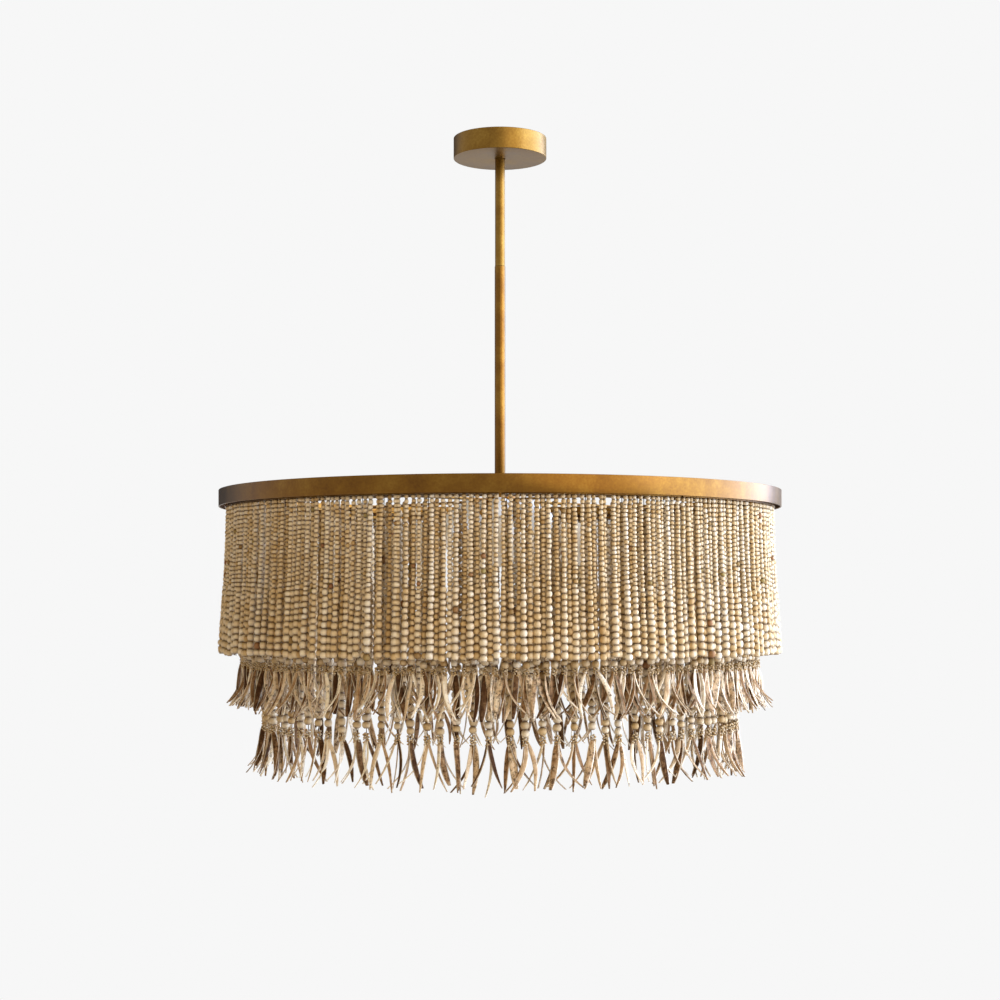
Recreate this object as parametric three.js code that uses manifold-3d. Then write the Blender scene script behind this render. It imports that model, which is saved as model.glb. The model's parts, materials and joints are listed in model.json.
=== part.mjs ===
// Beaded chandelier: a brass canopy and a two-piece stem carry a round brass band. Inside the band
// four spokes hold three wire rings, and three tiers of strung wooden beads hang from the rings.
// The two inner tiers end in slivers of bark. Millimetres, +Z up. The origin is the centre of the
// ceiling plane, where the crossbar is screwed to the outlet box.
import * as THREE from "three";
import { mergeVertices } from "three/addons/utils/BufferGeometryUtils.js";
import Module from "manifold-3d";

const wasm = await Module();
wasm.setup();

// Fits
const seatGap = 0.3; // between two pieces that touch
const slideGap = 0.4; // between the canopy and the pipe that it slides on
const cutOverrun = 2; // how far a cutting solid runs past what it cuts
const bite = 0.6; // how far two joined shapes of one piece reach into each other

// Canopy and ceiling hardware
const canopyDiameter = 127;
const canopyHeight = 28;
const canopyWall = 1.5;
const canopyEdgeRadius = 1.6;
const crossbarWidth = 20;
const crossbarThickness = 3;
const crossbarEarDrop = 15;
const crossbarEarGap = 1.7; // between an ear and the canopy's inner wall
const slotLength = 17;
const slotWidth = 5.4;
const slotSpacing = 76;
const nippleDiameter = 10;
const nippleBore = 7;
const nippleEntry = 14; // how far the nipple screws into the upper pipe
const lockNutAcrossCorners = 19;
const lockNutThickness = 4;
const canopyScrewDiameter = 4;
const canopyScrewRecess = 0.2; // below the canopy's outer face
const screwSocketDiameter = 2;
const screwSocketDepth = 1.5;
const canopyScrewDepth = 9; // from the ceiling plane down to the screw's axis

// Stem
const upperPipeLength = 152.4;
const upperPipeDiameter = 13.5;
const lowerPipeLength = 304.8;
const lowerPipeDiameter = 14.5;
const pipeEntry = 5.4; // how far the upper pipe stands inside the canopy
const couplingLength = 26;
const cableDiameter = 6;

// Hub, spokes, band and hanging rings
const hubDiameter = 48;
const hubHeight = 42;
const hubWall = 3;
const hubNeckDiameter = 24;
const hubNeckHeight = 12;
const hubSocketDepth = 10;
const hubCapThickness = 3;
const finialDiameter = 14;
const finialHeight = 9;
const bandDiameter = 762;
const bandHeight = 22;
const bandWall = 2;
const bandDrop = 15; // from the top of the hub down to the top of the band
const spokeCount = 4;
const spokeWidth = 16;
const spokeThickness = 3;
const spokeDrop = 9; // from the top of the band down to the top of a spoke
const ringWireDiameter = 5;
const outerRingInset = 9; // from the band's inner wall to the outer ring's wire
const middleRingInset = 24; // from the outer ring to the middle one
const innerRingInset = 30; // from the middle ring to the inner one

// Lamp holders and bulbs
const lampCount = 4;
const lampTiltDegrees = 35; // below the horizontal
const lampDrop = 14; // from the top of the hub down to where the lamps' axes meet the stem's axis
const armDiameter = 10;
const armStart = 20; // along the lamp's axis, from the stem's axis
const holderStart = 40;
const holderLength = 46;
const holderDiameter = 34;
const holderFloor = 6;
const bulbBaseDiameter = 26;
const bulbNeckReach = 3; // how far the bulb's straight neck stands out of the holder
const bulbDiameter = 60;
const bulbLength = 108;

// Strands. A sector of a tier is one piece: a header with its strands, which two clips hang on the
// tier's ring. A strand is as wide as its beads. The outer strands stand in two rows.
const sectorCount = 10;
const sectorGap = 2.2; // between two sectors of a tier
const headerDrop = 4; // from the bottom of a ring down to the top of a header
const headerThickness = 2;
const headerLip = 0.6; // from a clip's leg to the header's face
const strandGap = 0.3; // the least room between two strands of a sector
const clipWidth = 5; // narrow, because it swings about the line between the two clips
const clipThickness = 1.2;
const clipSideGap = 0.5; // beside the ring's wire
const outerTier = {
  name: "outer_strands",
  strandsPerSector: 30,
  beadLength: 197,
  topBead: 6,
  lowBead: 10,
  topStagger: 1.1, // how far a strand stands in front of the tier's middle, or behind it
  lowStagger: 2,
  flare: 7.5, // how far the lower end stands outside the upper one
};
const middleTier = {
  name: "middle_strands",
  strandsPerSector: 18,
  beadLength: 206,
  topBead: 6.4,
  lowBead: 9.4,
  topStagger: 0,
  lowStagger: 0,
  flare: 7,
  neckLength: 10, // the tiny beads between the last large bead and the slivers
  neckWidth: 4,
  sliverLength: 56,
  sliverWidth: 8,
  sliverLean: 2,
  sliverFlare: 22,
};
const innerTier = {
  name: "inner_strands",
  strandsPerSector: 10,
  beadLength: 288,
  topBead: 8,
  lowBead: 10,
  topStagger: 0,
  lowStagger: 0,
  flare: 5,
  neckLength: 12,
  neckWidth: 4,
  sliverLength: 58,
  sliverWidth: 9,
  sliverLean: 3,
  sliverFlare: 17,
};

// Counts of facets
const roundSides = 20;
const bandSides = 60;
const wireSides = 5;
const smallSides = 12;
const tinySides = 8;
const ringSidesPerSector = 3; // an odd number above one
const headerCurve = 3; // half the number of straight sides of a header

// Heights, from the ceiling plane down
const upperPipeTop = pipeEntry - canopyHeight;
const upperPipeBottom = upperPipeTop - upperPipeLength;
const lowerPipeTop = upperPipeBottom - seatGap;
const lowerPipeBottom = lowerPipeTop - lowerPipeLength;
const hubTop = lowerPipeBottom + hubSocketDepth;
const hubBottom = hubTop - hubHeight;
const bandTop = hubTop - bandDrop;
const spokeTop = bandTop - spokeDrop;
const spokeBottom = spokeTop - spokeThickness;
const ringHeight = spokeBottom - seatGap - ringWireDiameter / 2;
const headerTop = ringHeight - ringWireDiameter / 2 - headerDrop;

// Radii
const canopyRadius = canopyDiameter / 2;
const bandInner = bandDiameter / 2 - bandWall;
const outerRingRadius = bandInner - outerRingInset;
const middleRingRadius = outerRingRadius - middleRingInset;
const innerRingRadius = middleRingRadius - innerRingInset;
const nippleHole = nippleDiameter / 2 + seatGap; // bore that a nipple passes through

// Angles
const fullTurn = 2 * Math.PI;
const quarterTurn = Math.PI / 2;
const sectorAngle = fullTurn / sectorCount;
const firstSectorAngle = sectorAngle / 2 - quarterTurn; // the sectors start where a lathed ring does
const ringSides = ringSidesPerSector * sectorCount;
const clipAngle = sectorAngle / ringSidesPerSector; // a clip sits on the middle of a straight side

// Materials
function metal(color, roughness) {
  return new THREE.MeshStandardMaterial({ color, roughness, metalness: 1 });
}
function plain(color, roughness) {
  return new THREE.MeshStandardMaterial({ color, roughness, metalness: 0 });
}
const brass = metal(0xa9772b, 0.38);
const steel = metal(0xb9bcc0, 0.35);
const beadWood = plain(0xd6bd92, 0.7);
const barkWood = plain(0xb89a72, 0.75);
const porcelain = plain(0xe9e6df, 0.4);
const cableSleeve = plain(0x4a3a28, 0.6);
const frostedGlass = new THREE.MeshStandardMaterial({
  color: 0xf7f4ea,
  roughness: 0.3,
  transparent: true,
  opacity: 0.6,
});

const chandelier = new THREE.Group();

function add(name, geometry, material, parent = chandelier) {
  const mesh = new THREE.Mesh(geometry, material);
  mesh.name = name;
  parent.add(mesh);
  return mesh;
}

// A round shape about Z. The outline is a list of [radius, height], going anticlockwise with the
// radius to the right, and it closes on itself.
function turned(outline, sides) {
  const points = [...outline, outline[0]].map(([r, z]) => new THREE.Vector2(r, z));
  return new THREE.LatheGeometry(points, sides).rotateX(quarterTurn);
}

// A tube about Z between two heights.
function tube(outer, inner, top, bottom, sides) {
  return turned([[inner, bottom], [outer, bottom], [outer, top], [inner, top]], sides);
}

function block(width, depth, top, bottom) {
  const box = new THREE.BoxGeometry(width, depth, top - bottom);
  return box.translate(0, 0, (top + bottom) / 2);
}

function solidOf(geometry) {
  const bare = geometry.clone();
  bare.deleteAttribute("normal");
  bare.deleteAttribute("uv");
  const merged = mergeVertices(bare);
  const vertProperties = new Float32Array(merged.attributes.position.array);
  const triVerts = new Uint32Array(merged.index.array);
  return new wasm.Manifold(new wasm.Mesh({ numProp: 3, vertProperties, triVerts }));
}

function geometryOf(solid) {
  const mesh = solid.getMesh();
  const geometry = new THREE.BufferGeometry();
  geometry.setAttribute("position", new THREE.BufferAttribute(mesh.vertProperties, 3));
  geometry.setIndex(new THREE.BufferAttribute(mesh.triVerts, 1));
  return geometry;
}

function joined(geometries) {
  return geometryOf(geometries.map(solidOf).reduce((whole, piece) => whole.add(piece)));
}

function cut(geometry, tools) {
  return geometryOf(tools.map(solidOf).reduce((whole, tool) => whole.subtract(tool), solidOf(geometry)));
}

// Ceiling crossbar: a strap with two slots for the outlet box's screws and an ear at each end
function addCrossbar() {
  const halfLength = canopyRadius - canopyWall - crossbarEarGap;
  const plate = new THREE.Shape();
  plate.moveTo(-halfLength, -crossbarWidth / 2);
  plate.lineTo(halfLength, -crossbarWidth / 2);
  plate.lineTo(halfLength, crossbarWidth / 2);
  plate.lineTo(-halfLength, crossbarWidth / 2);
  plate.closePath();
  plate.holes.push(new THREE.Path().absarc(0, 0, nippleHole, 0, fullTurn, true));
  const straight = (slotLength - slotWidth) / 2;
  for (const side of [-1, 1]) {
    const slot = new THREE.Path();
    const middle = (side * slotSpacing) / 2;
    slot.absarc(middle + straight, 0, slotWidth / 2, quarterTurn, -quarterTurn, true);
    slot.absarc(middle - straight, 0, slotWidth / 2, -quarterTurn, -3 * quarterTurn, true);
    plate.holes.push(slot);
  }
  const extrusion = { depth: crossbarThickness, bevelEnabled: false, curveSegments: smallSides / 2 };
  const flat = new THREE.ExtrudeGeometry(plate, extrusion).translate(0, 0, -crossbarThickness);
  const ears = [-1, 1].map((side) => {
    const ear = block(crossbarThickness, crossbarWidth, -bite, -crossbarEarDrop);
    return ear.translate(side * (halfLength - crossbarThickness / 2), 0, 0);
  });
  add("ceiling_crossbar", joined([flat, ...ears]), steel);
}

// Hollow threaded nipple that joins the crossbar to the upper pipe, and its lock nut
function addNipple() {
  const bottom = upperPipeTop - nippleEntry;
  add("mounting_nipple", tube(nippleDiameter / 2, nippleBore / 2, 0, bottom, smallSides), steel);
  const nut = new THREE.Shape();
  const hexCorners = 6;
  const radius = lockNutAcrossCorners / 2;
  nut.moveTo(radius, 0);
  for (let i = 1; i < hexCorners; i++) {
    const angle = (i * fullTurn) / hexCorners;
    nut.lineTo(Math.cos(angle) * radius, Math.sin(angle) * radius);
  }
  nut.closePath();
  nut.holes.push(new THREE.Path().absarc(0, 0, nippleHole, 0, fullTurn, true));
  const extrusion = { depth: lockNutThickness, bevelEnabled: false, curveSegments: smallSides / 2 };
  const top = -crossbarThickness - seatGap;
  const geometry = new THREE.ExtrudeGeometry(nut, extrusion).translate(0, 0, top - lockNutThickness);
  add("lock_nut", geometry, steel);
}

// Canopy: a shallow round cup, open at the ceiling, with a hole for the stem and two screw holes
function addCanopy() {
  const hole = upperPipeDiameter / 2 + slideGap;
  const inner = canopyRadius - canopyWall;
  const floor = -canopyHeight;
  const roundedStart = canopyRadius - canopyEdgeRadius;
  const midArc = canopyEdgeRadius * (1 - Math.SQRT1_2);
  const cup = turned(
    [
      [hole, floor],
      [roundedStart, floor],
      [canopyRadius - midArc, floor + midArc],
      [canopyRadius, floor + canopyEdgeRadius],
      [canopyRadius, 0],
      [inner, 0],
      [inner, floor + canopyWall],
      [hole, floor + canopyWall],
    ],
    roundSides,
  );
  const drill = new THREE.CylinderGeometry(
    canopyScrewDiameter / 2 + seatGap,
    canopyScrewDiameter / 2 + seatGap,
    canopyDiameter + 2 * cutOverrun,
    tinySides,
  );
  drill.rotateZ(quarterTurn).translate(0, 0, -canopyScrewDepth);
  add("canopy", cut(cup, [drill]), brass);
}

// Set screws in the canopy's sides, which press on the crossbar's ears and hold the canopy up
function addCanopyScrews() {
  const tip = canopyRadius - canopyWall - crossbarEarGap + seatGap;
  const end = canopyRadius - canopyScrewRecess;
  const socket = end - screwSocketDepth;
  const outline = [
    [0, tip],
    [canopyScrewDiameter / 2, tip],
    [canopyScrewDiameter / 2, end],
    [screwSocketDiameter / 2, end],
    [screwSocketDiameter / 2, socket],
    [0, socket],
  ];
  for (const [name, turn] of [["canopy_screw_right", 0], ["canopy_screw_left", Math.PI]]) {
    const screw = turned(outline, tinySides).rotateY(quarterTurn).rotateZ(turn);
    add(name, screw.translate(0, 0, -canopyScrewDepth), brass);
  }
}

// Stem: two pipes joined by a hidden threaded coupling, with the supply cable inside
function addStem() {
  const upper = tube(upperPipeDiameter / 2, nippleHole, upperPipeTop, upperPipeBottom, smallSides);
  add("upper_stem_pipe", upper, brass);
  const lower = tube(lowerPipeDiameter / 2, nippleHole, lowerPipeTop, lowerPipeBottom, smallSides);
  add("lower_stem_pipe", lower, brass);
  const middle = (upperPipeBottom + lowerPipeTop) / 2;
  const top = middle + couplingLength / 2;
  const bottom = middle - couplingLength / 2;
  add("stem_coupling", tube(nippleDiameter / 2, nippleBore / 2, top, bottom, smallSides), steel);
  const cableBottom = lowerPipeBottom - hubSocketDepth;
  const cable = new THREE.CylinderGeometry(
    cableDiameter / 2,
    cableDiameter / 2,
    -crossbarThickness - cableBottom,
    tinySides,
  );
  cable.rotateX(quarterTurn).translate(0, 0, (cableBottom - crossbarThickness) / 2);
  add("stem_cable", cable, cableSleeve);
}

// The direction of a lamp's axis is outwards and down. This turns a shape that stands along +Z,
// from its origin, to lie along that axis.
function alongLamp(geometry, index) {
  const tilt = quarterTurn + THREE.MathUtils.degToRad(lampTiltDegrees);
  geometry.rotateY(tilt);
  geometry.rotateZ((index * fullTurn) / lampCount);
  return geometry.translate(0, 0, hubTop - lampDrop);
}

// Hub: a hollow turned body. The lower pipe sits in its neck, the arms of the lamp holders pass
// through its wall, and a cap with a finial closes it.
function addHub() {
  const outer = hubDiameter / 2;
  const inner = outer - hubWall;
  const neck = hubNeckDiameter / 2;
  const socket = lowerPipeDiameter / 2 + seatGap;
  const shoulder = hubTop - hubNeckHeight;
  const seat = lowerPipeBottom - seatGap;
  const ceiling = Math.min(seat, shoulder) - hubWall;
  const cableHole = cableDiameter / 2 + seatGap;
  const shell = turned(
    [
      [cableHole, seat],
      [cableHole, ceiling],
      [inner, ceiling],
      [inner, hubBottom],
      [outer, hubBottom],
      [outer, shoulder],
      [neck, shoulder],
      [neck, hubTop],
      [socket, hubTop],
      [socket, seat],
    ],
    roundSides,
  );
  const drills = [];
  for (let i = 0; i < lampCount; i++) {
    const radius = armDiameter / 2 + seatGap;
    const drill = new THREE.CylinderGeometry(radius, radius, holderStart - armStart, smallSides);
    drill.rotateX(quarterTurn).translate(0, 0, (holderStart + armStart) / 2);
    drills.push(alongLamp(drill, i));
  }
  add("hub_body", cut(shell, drills), brass);
  const capTop = hubBottom - seatGap;
  const capBottom = capTop - hubCapThickness;
  const cap = turned(
    [
      [0, capBottom - finialHeight],
      [finialDiameter / 4, capBottom - finialHeight],
      [finialDiameter / 2, capBottom - finialHeight / 2],
      [finialDiameter / 4, capBottom],
      [outer, capBottom],
      [outer, capTop],
      [0, capTop],
    ],
    roundSides,
  );
  add("hub_cap", cap, brass);
}

// Spokes from the hub to the band
function addSpokes() {
  const start = hubDiameter / 2 + seatGap;
  const end = Math.sqrt((bandInner - seatGap) ** 2 - (spokeWidth / 2) ** 2) - seatGap;
  for (let i = 0; i < spokeCount; i++) {
    const spoke = block(end - start, spokeWidth, spokeTop, spokeBottom);
    spoke.translate((start + end) / 2, 0, 0).rotateZ(((i + 1 / 2) * fullTurn) / spokeCount);
    add(`spoke_${i + 1}`, spoke, brass);
  }
}

function addBand() {
  const band = tube(bandDiameter / 2, bandInner, bandTop, bandTop - bandHeight, bandSides);
  add("band", band, brass);
}

function addRings() {
  const rings = { outer_ring: outerRingRadius, middle_ring: middleRingRadius, inner_ring: innerRingRadius };
  for (const [name, radius] of Object.entries(rings)) {
    const outline = [];
    for (let i = 0; i < wireSides; i++) {
      const angle = quarterTurn + (i * fullTurn) / wireSides;
      const across = (Math.cos(angle) * ringWireDiameter) / 2;
      const up = (Math.sin(angle) * ringWireDiameter) / 2;
      outline.push([radius + across, ringHeight + up]);
    }
    add(name, turned(outline, ringSides), brass);
  }
}

// Lamp holder: a cup with a hollow arm that passes into the hub. A bulb's base sits in the cup.
function addLamps() {
  const holderEnd = holderStart + holderLength;
  const bore = bulbBaseDiameter / 2 + seatGap;
  const armBore = armDiameter / 4;
  const holder = [
    [armBore, armStart],
    [armDiameter / 2, armStart],
    [armDiameter / 2, holderStart],
    [holderDiameter / 2, holderStart],
    [holderDiameter / 2, holderEnd],
    [bore, holderEnd],
    [bore, holderStart + holderFloor],
    [armBore, holderStart + holderFloor],
  ];
  const bulbStart = holderStart + holderFloor + seatGap;
  const bulbEnd = bulbStart + bulbLength;
  const globe = bulbDiameter / 2;
  const bulbNeck = holderEnd + bulbNeckReach;
  const globeMiddle = bulbEnd - globe;
  const bulb = [
    [0, bulbStart],
    [bulbBaseDiameter / 4, bulbStart],
    [bulbBaseDiameter / 2, bulbStart + bulbBaseDiameter / 4],
    [bulbBaseDiameter / 2, bulbNeck],
    [globe * Math.cos(quarterTurn / 2), globeMiddle - globe * Math.sin(quarterTurn / 2)],
    [globe, globeMiddle],
    [globe * Math.cos(quarterTurn / 2), globeMiddle + globe * Math.sin(quarterTurn / 2)],
    [0, bulbEnd],
  ];
  for (let i = 0; i < lampCount; i++) {
    add(`lamp_holder_${i + 1}`, alongLamp(turned(holder, tinySides), i), porcelain);
    add(`bulb_${i + 1}`, alongLamp(turned(bulb, tinySides), i), frostedGlass);
  }
}

// A closed mesh that is built from points and faces. A quad's corners go anticlockwise for an eye
// outside it.
function newMesh() {
  const points = [];
  const faces = [];
  return {
    point(angle, radius, height, aside = 0) {
      const x = Math.cos(angle) * radius - Math.sin(angle) * aside;
      const y = Math.sin(angle) * radius + Math.cos(angle) * aside;
      return points.push(new THREE.Vector3(x, y, height)) - 1;
    },
    face(a, b, c) {
      faces.push(a, b, c);
    },
    quad(a, b, c, d) {
      faces.push(a, b, c, a, c, d);
    },
    geometry() {
      return new THREE.BufferGeometry().setFromPoints(points).setIndex(faces);
    },
  };
}

// Four points round a strand at one height, one of them outwards
function strandLevel(mesh, angle, radius, height, width, depth) {
  return [
    mesh.point(angle, radius + depth / 2, height),
    mesh.point(angle, radius, height, width / 2),
    mesh.point(angle, radius - depth / 2, height),
    mesh.point(angle, radius, height, -width / 2),
  ];
}

function joinLevels(mesh, low, high) {
  low.forEach((point, i) => {
    const next = (i + 1) % low.length;
    mesh.quad(point, low[next], high[next], high[i]);
  });
}

// What hangs below a strand's last large bead: a thin neck of tiny beads, then slivers of bark,
// which spread to a blunt end
function addSliver(mesh, tier, angle, radius, beads, way) {
  const neckHeight = headerTop - tier.beadLength - tier.neckLength;
  const neck = strandLevel(mesh, angle, radius, neckHeight, tier.neckWidth, tier.neckWidth);
  const [outside, right, inside, left] = neck;
  const lean = way * tier.sliverLean;
  const half = tier.sliverWidth / 2;
  const endHeight = neckHeight - tier.sliverLength;
  const endRadius = radius + tier.sliverFlare;
  const endLeft = mesh.point(angle, endRadius, endHeight, lean - half);
  const endRight = mesh.point(angle, endRadius, endHeight, lean + half);
  joinLevels(mesh, neck, beads);
  mesh.face(endLeft, endRight, outside);
  mesh.face(endRight, right, outside);
  mesh.face(endLeft, outside, left);
  mesh.face(endRight, endLeft, inside);
  mesh.face(endRight, inside, right);
  mesh.face(endLeft, left, inside);
}

// One strand of a sector, in the sector's own frame with +X outwards at its middle. Its upper end
// sits inside the header.
function strand(tier, radius, i) {
  const mesh = newMesh();
  const count = tier.strandsPerSector;
  const step = (sectorAngle - sectorGap / radius) / count;
  const angle = (i + 1 / 2 - count / 2) * step;
  const room = step * radius - strandGap;
  const row = i % 2 ? 1 : -1;
  const highRadius = radius + row * tier.topStagger;
  const lowRadius = radius + tier.flare + row * tier.lowStagger;
  const highWidth = Math.min(tier.topBead, room);
  const lowWidth = Math.min(tier.lowBead, room);
  const top = headerTop - headerThickness + bite;
  const high = strandLevel(mesh, angle, highRadius, top, highWidth, tier.topBead);
  const bottom = headerTop - tier.beadLength;
  const low = strandLevel(mesh, angle, lowRadius, bottom, lowWidth, tier.lowBead);
  joinLevels(mesh, low, high);
  mesh.quad(...high);
  if (tier.sliverLength) {
    addSliver(mesh, tier, angle, lowRadius, low, row < 0 && i < count - 1 ? 1 : -1);
  } else {
    mesh.quad(...low.reverse());
  }
  return mesh.geometry();
}

// The strip that a sector's strands hang from
function header(radius, depth) {
  const edge = (sectorAngle - sectorGap / radius) / 2;
  const shape = new THREE.Shape();
  shape.absarc(0, 0, radius + depth / 2, -edge, edge, false);
  shape.absarc(0, 0, radius - depth / 2, edge, -edge, true);
  const settings = { depth: headerThickness, bevelEnabled: false, curveSegments: headerCurve };
  return new THREE.ExtrudeGeometry(shape, settings).translate(0, 0, headerTop - headerThickness);
}

// A saddle clip over the ring's wire. Its legs end in the header.
function clip(radius, angle) {
  const inner = ringWireDiameter / 2 + clipSideGap;
  const outer = inner + clipThickness;
  const innerTop = ringHeight + ringWireDiameter / 2 + seatGap;
  const foot = headerTop - bite;
  const shape = new THREE.Shape();
  shape.moveTo(-outer, foot);
  shape.lineTo(-inner, foot);
  shape.lineTo(-inner, innerTop);
  shape.lineTo(inner, innerTop);
  shape.lineTo(inner, foot);
  shape.lineTo(outer, foot);
  shape.lineTo(outer, innerTop + clipThickness);
  shape.lineTo(-outer, innerTop + clipThickness);
  shape.closePath();
  const geometry = new THREE.ExtrudeGeometry(shape, { depth: clipWidth, bevelEnabled: false });
  return geometry.rotateX(quarterTurn).translate(radius, clipWidth / 2, 0).rotateZ(angle);
}

function addTier(tier, ringRadius, material) {
  const wireRadius = ringRadius * Math.cos(Math.PI / ringSides); // at the middle of a straight side
  const headerDepth = ringWireDiameter + 2 * (clipSideGap + clipThickness + headerLip);
  const clips = [-clipAngle, clipAngle].map((angle) => clip(wireRadius, angle));
  const strands = Array.from({ length: tier.strandsPerSector }, (_, i) => strand(tier, wireRadius, i));
  const geometry = joined([header(wireRadius, headerDepth), ...strands, ...clips]);
  for (let i = 0; i < sectorCount; i++) {
    const sector = new THREE.Group();
    sector.rotation.z = firstSectorAngle + i * sectorAngle;
    add(`${tier.name}_${String(i + 1).padStart(2, "0")}`, geometry, material, sector);
    chandelier.add(sector);
  }
}

addCrossbar();
addNipple();
addCanopy();
addCanopyScrews();
addStem();
addHub();
addSpokes();
addBand();
addRings();
addLamps();
addTier(outerTier, outerRingRadius, beadWood);
addTier(middleTier, middleRingRadius, barkWood);
addTier(innerTier, innerRingRadius, barkWood);

export default chandelier;
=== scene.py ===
import json
import math

import bpy
import numpy as np
from mathutils import Euler, Matrix, Vector

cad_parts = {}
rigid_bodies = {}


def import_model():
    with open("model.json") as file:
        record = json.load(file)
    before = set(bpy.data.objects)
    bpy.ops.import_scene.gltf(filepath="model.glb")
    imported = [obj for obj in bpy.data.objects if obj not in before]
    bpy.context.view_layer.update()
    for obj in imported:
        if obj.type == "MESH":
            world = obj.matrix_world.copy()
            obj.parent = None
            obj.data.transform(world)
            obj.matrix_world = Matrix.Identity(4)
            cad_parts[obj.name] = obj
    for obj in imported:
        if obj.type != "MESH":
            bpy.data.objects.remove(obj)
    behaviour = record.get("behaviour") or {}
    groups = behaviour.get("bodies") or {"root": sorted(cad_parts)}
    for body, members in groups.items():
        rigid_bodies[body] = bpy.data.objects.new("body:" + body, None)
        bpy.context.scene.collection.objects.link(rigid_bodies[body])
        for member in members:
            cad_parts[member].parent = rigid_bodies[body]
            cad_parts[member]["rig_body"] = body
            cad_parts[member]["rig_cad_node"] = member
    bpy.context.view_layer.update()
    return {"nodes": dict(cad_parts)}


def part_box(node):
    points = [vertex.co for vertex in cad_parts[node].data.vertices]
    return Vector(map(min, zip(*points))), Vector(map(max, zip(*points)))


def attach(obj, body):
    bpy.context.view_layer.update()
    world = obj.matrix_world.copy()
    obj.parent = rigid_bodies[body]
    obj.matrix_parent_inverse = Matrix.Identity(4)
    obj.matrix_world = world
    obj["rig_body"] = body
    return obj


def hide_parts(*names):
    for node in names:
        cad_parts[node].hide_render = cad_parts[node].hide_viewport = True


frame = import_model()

mm = 0.001
mergeGap = 0.02 * mm  # points closer than this are one
nodes = frame["nodes"]
dice = np.random.default_rng(20)  # one seed, so that each run strings the same beads
print("frame loaded:", len(nodes), "nodes")

# Places taken from the frame
canopyLow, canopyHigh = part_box("canopy")
upperLow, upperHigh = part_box("upper_stem_pipe")
lowerLow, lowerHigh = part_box("lower_stem_pipe")
bandLow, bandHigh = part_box("band")
hubLow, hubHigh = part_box("hub_body")
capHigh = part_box("hub_cap")[1]


# Camera: level, as the photograph's upright lines are, with the eye a little below the band
cameraSet = {"distance": 2.458, "eyeHeight": -0.632, "lens": 64.6, "sensor": 36, "shiftY": 0.10}


def placeCamera(s):
    data = bpy.data.cameras.new("camera")
    data.lens, data.sensor_width, data.shift_y = s["lens"], s["sensor"], s["shiftY"]
    camera = bpy.data.objects.new("camera", data)
    camera.location = (0, -s["distance"], s["eyeHeight"])
    camera.rotation_euler = (math.pi / 2, 0, 0)
    bpy.context.scene.collection.objects.link(camera)
    bpy.context.scene.camera = camera


placeCamera(cameraSet)
bpy.context.scene.view_settings.view_transform = "Standard"
print("camera placed")


# Shader maths
def feed(tree, slot, value):
    if isinstance(value, Wire):
        tree.links.new(value.socket, slot)
    elif hasattr(slot.default_value, "__len__") and len(slot.default_value) == 4 and len(value) == 3:
        slot.default_value = (*value, 1)
    else:
        slot.default_value = value


class Wire:
    # one output socket: a sum on it adds the Math nodes it needs
    def __init__(self, tree, socket):
        self.tree, self.socket = tree, socket

    def math(self, operation, first, second):
        return addNode(self.tree, "ShaderNodeMath", {"operation": operation}, {0: first, 1: second})

    def __add__(self, other):
        return self.math("ADD", self, other)

    def __radd__(self, other):
        return self.math("ADD", other, self)

    def __sub__(self, other):
        return self.math("SUBTRACT", self, other)

    def __rsub__(self, other):
        return self.math("SUBTRACT", other, self)

    def __mul__(self, other):
        return self.math("MULTIPLY", self, other)

    def __rmul__(self, other):
        return self.math("MULTIPLY", other, self)


def addNode(tree, kind, settings=None, sockets=None, out=0):
    node = tree.nodes.new(kind)
    for key, value in (settings or {}).items():
        if key == "stops":
            ramp = node.color_ramp
            while len(ramp.elements) < len(value):
                ramp.elements.new(0.5)
            for element, (place, color) in zip(ramp.elements, value):
                element.position = place
                element.color = (*color, 1)
        else:
            setattr(node, key, value)
    for key, value in (sockets or {}).items():
        feed(tree, node.inputs[key], value)
    return Wire(tree, node.outputs[out]) if len(node.outputs) else None


class Finish:
    # one material, with the few things that most finishes need
    def __init__(self, name, **constants):
        self.material = bpy.data.materials.new(name)
        self.material.use_nodes = True
        self.tree = self.material.node_tree
        self.shader = self.tree.nodes["Principled BSDF"]
        self.set(**constants)
        self.place = self.add("ShaderNodeTexCoord", out="Object")

    def add(self, kind, settings=None, sockets=None, out=0):
        return addNode(self.tree, kind, settings, sockets, out)

    def set(self, **values):
        for key, value in values.items():
            feed(self.tree, self.shader.inputs[key.replace("_", " ")], value)

    def noise(self, scale, detail, rough, stretch=None):
        place = self.place
        if stretch:
            place = self.add("ShaderNodeMapping", None, {"Vector": place, "Scale": stretch})
        sockets = {"Vector": place, "Scale": scale, "Detail": detail, "Roughness": rough}
        return self.add("ShaderNodeTexNoise", None, sockets)

    def attribute(self, name):
        return self.add("ShaderNodeAttribute", {"attribute_name": name}, None, "Fac")

    def ramp(self, value, stops):
        return self.add("ShaderNodeValToRGB", {"stops": stops}, {"Fac": value})

    def mix(self, share, first, second):
        # the colour sockets of a Mix node are its inputs 6 and 7 and its output 2
        return self.add("ShaderNodeMix", {"data_type": "RGBA"}, {0: share, 6: first, 7: second}, 2)

    def bump(self, height, strength, distance):
        sockets = {"Height": height, "Strength": strength, "Distance": distance}
        self.set(Normal=self.add("ShaderNodeBump", None, sockets))


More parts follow.
